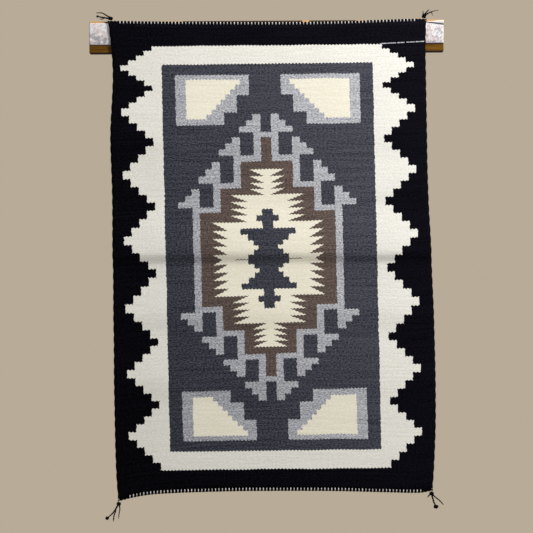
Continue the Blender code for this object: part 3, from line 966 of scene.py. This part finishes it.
def knot_centre(tassel):
    """A corner knot sits on the outer side of the end cord, close to the corner."""
    centre = outline_point(tassel.across + tassel.aside / RUG_WIDTH, tassel.down)
    off_the_cord = tassel.knot_size[2] + GAP
    centre.z += between(off_the_cord, -off_the_cord, tassel.down)
    return centre


def from_knot(centre, point):
    """Where a strand's point lies, given from the knot's centre in millimetres as x, forward and up."""
    aside, forward, up = point
    return centre + MM * Vector((aside, -forward, up))


def smooth_route(points, steps):
    """Points along a smooth curve through the few given ones."""
    stops = [Stop(place, *point) for place, point in enumerate(points)]
    last = len(stops) - 1
    return [
        [through(stops, "place", column, last * step / steps) for column in ("aside", "forward", "up")]
        for step in range(steps + 1)
    ]


def add_knot(shape, centre, half_sizes, chance):
    """Adds an overhand knot: a lump with turns of yarn laid over it."""
    core = bmesh.ops.create_icosphere(shape, subdivisions=2, radius=1.0)["verts"]
    for vertex in core:
        vertex.co = centre + Vector([0.80 * part * size for part, size in zip(vertex.co, half_sizes)])
    yarn = 0.30 * min(half_sizes)
    for turn in range(4):
        lean = Matrix.Rotation(math.radians(-50.0 + 42.0 * turn + chance.uniform(-8.0, 8.0)), 3, "Y")
        tip = Matrix.Rotation(math.radians(chance.uniform(-22.0, 22.0)), 3, "X")
        points = []
        for step in range(21):
            around = 2.0 * math.pi * step / 20
            away = lean @ tip @ Vector((math.cos(around), math.sin(around), 0.0))
            swell = 0.82 + 0.06 * math.sin(around + turn)
            points.append(centre + Vector([swell * part * size for part, size in zip(away, half_sizes)]))
        add_tube(shape, points, [yarn] * len(points), 6)


def build_tassel(tassel, material):
    """The corner knot with its plied strands, their end knots and a little fuzz."""
    chance = random.Random(tassel.name)
    centre = knot_centre(tassel)
    shape = bmesh.new()
    add_knot(shape, centre, tassel.knot_size, chance)
    for strand in tassel.strands:
        steps = 12 * (len(strand.points) - 1)
        points = [from_knot(centre, place) for place in smooth_route(strand.points, steps)]
        half_widths = [between(strand.root, strand.tip, index / steps) for index in range(steps + 1)]
        length = sum((after - before).length for before, after in zip(points, points[1:]))
        half_turns = round(length / (1.25 * (strand.root + strand.tip)))
        add_plied_cord(shape, points, half_widths, square_start(points), half_turns, STRAND_PINCH)
        if strand.end_knot:
            add_knot(shape, points[-1], strand.end_knot, chance)
        ravel = (points[-1] - points[-3]).normalized()
        for _ in range(14):
            add_fibre(shape, points[-1], ravel, chance.uniform(0.0012, 0.0030), 0.00022, 0.4, chance)
        for _ in range(20):
            root = chance.choice(points)
            aside = Vector([chance.uniform(-1.0, 1.0) for _ in range(3)]).normalized()
            add_fibre(shape, root, aside, chance.uniform(0.0014, 0.0026), 0.00008, 0.6, chance)
    piece = add_piece("tied_" + tassel.name, shape, material)
    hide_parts(tassel.name)
    return piece


# The batten and its tape

def build_tape(material):
    """The hook tape along the batten, slightly uneven."""
    back, top = TAPE_BACK, BATTEN_HEIGHT / 2.0 - TAPE_BELOW_BATTEN_TOP
    columns, rows = 240, 30
    shape = bmesh.new()
    bmesh.ops.create_grid(shape, x_segments=columns, y_segments=rows, size=0.5)
    for vertex in shape.verts:
        x = vertex.co.x * BATTEN_LENGTH
        z = top - (0.5 - vertex.co.y) * TAPE_HEIGHT
        wave = noise.noise(Vector((x, 0.0, z)) / 0.006)
        vertex.co = Vector((x, -(back + TAPE_THICKNESS / 2.0 + 0.00012 * wave), z))
    tape = add_piece("hook_tape_strip", shape, material)
    thicken = tape.modifiers.new("thickness", "SOLIDIFY")
    thicken.thickness = TAPE_THICKNESS - 0.0003
    thicken.offset = 0.0
    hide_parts("hook_tape")
    return tape


def build_lip(material):
    """The tape's upper edge at the right end, which has come loose above a crease and bends forward."""
    shape = bmesh.new()
    columns, rows = 24, 3
    bmesh.ops.create_grid(shape, x_segments=columns, y_segments=rows, size=0.5)
    for vertex in shape.verts:
        along, up = vertex.co.x + 0.5, vertex.co.y + 0.5
        x = between(LIP_START, BATTEN_LENGTH / 2.0, along)
        low = CREASE_Z + CREASE_SLOPE * (x - CREASE_X) + CREASE_HALF
        high = between(low + 0.0006, LIP_TOP, min(1.0, along / 0.5) ** 0.7)
        forward = TAPE_BACK + TAPE_THICKNESS + 0.0004 + 0.0022 * along * up
        vertex.co = Vector((x, -forward, between(low, high, up)))
    lip = add_piece("hook_tape_lip", shape, material)
    thicken = lip.modifiers.new("thickness", "SOLIDIFY")
    thicken.thickness = 0.0007
    thicken.offset = 0.0
    return lip


def build_lint(material):
    """Loose fibres of wool caught in the tape where it shows beside the rug."""
    chance = random.Random(11)
    shape = bmesh.new()
    top = BATTEN_HEIGHT / 2.0 - TAPE_BELOW_BATTEN_TOP
    rug_left, rug_right = outline_x("left", 0.0), outline_x("right", 0.0)
    for low, high in ((-BATTEN_LENGTH / 2.0, rug_left), (rug_right, BATTEN_LENGTH / 2.0)):
        for _ in range(130):
            x = chance.uniform(low + 0.002, high - 0.002)
            z = top - TAPE_HEIGHT * chance.uniform(0.06, 0.97)
            root = Vector((x, -(TAPE_BACK + TAPE_THICKNESS + 0.0001), z))
            aside = Vector((chance.uniform(-1.0, 1.0), chance.uniform(-0.35, 0.0), chance.uniform(-1.0, 1.0)))
            add_fibre(shape, root, aside.normalized(), chance.uniform(0.002, 0.006), 0.00011, 0.5, chance)
    return add_piece("lint_on_tape", shape, material)


# The stage

def add_area_light(name, place, target, size, power, colour):
    lamp = bpy.data.lights.new(name, "AREA")
    lamp.shape = "DISK"
    lamp.size = size
    lamp.energy = power
    lamp.color = colour
    holder = bpy.data.objects.new(name, lamp)
    holder.location = place
    holder.rotation_mode = "QUATERNION"
    holder.rotation_quaternion = (Vector(target) - Vector(place)).to_track_quat("-Z", "Y")
    bpy.context.scene.collection.objects.link(holder)


def build_stage():
    """A pale floor well below the rug, soft light from above on the right, and a plain tan world."""
    shape = bmesh.new()
    bmesh.ops.create_grid(shape, x_segments=1, y_segments=1, size=1.9)
    mesh = bpy.data.meshes.new("floor")
    shape.to_mesh(mesh)
    shape.free()
    floor = bpy.data.objects.new("floor", mesh)
    floor.location = (0.0, 0.0, -1.9)
    nodes = Nodes("pale_floor")
    nodes.shader.inputs["Base Color"].default_value = (0.62, 0.58, 0.52, 1.0)
    nodes.shader.inputs["Roughness"].default_value = 0.9
    mesh.materials.append(nodes.material)
    bpy.context.scene.collection.objects.link(floor)

    world = bpy.data.worlds.new("plain_tan")
    bpy.context.scene.world = world
    world.use_nodes = True
    tree = world.node_tree
    shown = tree.nodes["Background"]
    shown.inputs["Color"].default_value = (0.479, 0.407, 0.314, 1.0)
    shown.inputs["Strength"].default_value = 1.0
    lighting = tree.nodes.new("ShaderNodeBackground")
    lighting.inputs["Color"].default_value = (0.93, 0.94, 0.97, 1.0)
    lighting.inputs["Strength"].default_value = 0.40
    ray = tree.nodes.new("ShaderNodeLightPath")
    choose = tree.nodes.new("ShaderNodeMixShader")
    tree.links.new(ray.outputs["Is Camera Ray"], choose.inputs[0])
    tree.links.new(lighting.outputs[0], choose.inputs[1])
    tree.links.new(shown.outputs[0], choose.inputs[2])
    tree.links.new(choose.outputs[0], tree.nodes["World Output"].inputs["Surface"])

    add_area_light("key_light", KEY_PLACE, KEY_TARGET, KEY_SIZE, KEY_POWER, KEY_COLOUR)
    bpy.context.scene.view_settings.view_transform = "Standard"


def build_camera():
    data = bpy.data.cameras.new("camera")
    data.lens = LENS
    data.sensor_width = SENSOR
    camera = bpy.data.objects.new("camera", data)
    distance = PICTURE_WIDTH * LENS / SENSOR + CLOTH_MIDDLE + CLOTH_THICKNESS / 2.0
    camera.location = (PICTURE_X, -distance, PICTURE_Z)
    face_on = Matrix.Rotation(math.radians(90.0), 3, "X")
    rolled = Matrix.Rotation(math.radians(ROLL), 3, "Y")
    camera.rotation_euler = (rolled @ face_on).to_euler()
    bpy.context.scene.collection.objects.link(camera)
    bpy.context.scene.camera = camera


def main():
    black = black_yarn_material()
    light = warp_loop_material()
    rug = build_rug(rug_material())
    for end, down in (("top", 0.0), ("bottom", 1.0)):
        build_end_cord(end, down, black)
        build_warp_loops(end, down, light)
    for side, across in (("left", 0.0), ("right", 1.0)):
        build_selvage_cord(side, across, black)
    for tassel in TASSELS:
        build_tassel(tassel, black)
    tape = build_tape(tape_material())
    build_lip(lip_material())
    build_lint(lint_material())
    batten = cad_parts["hanging_batten"]
    wood = wood_material()
    for slot in batten.material_slots:
        slot.material = wood
    build_stage()
    build_camera()


main()
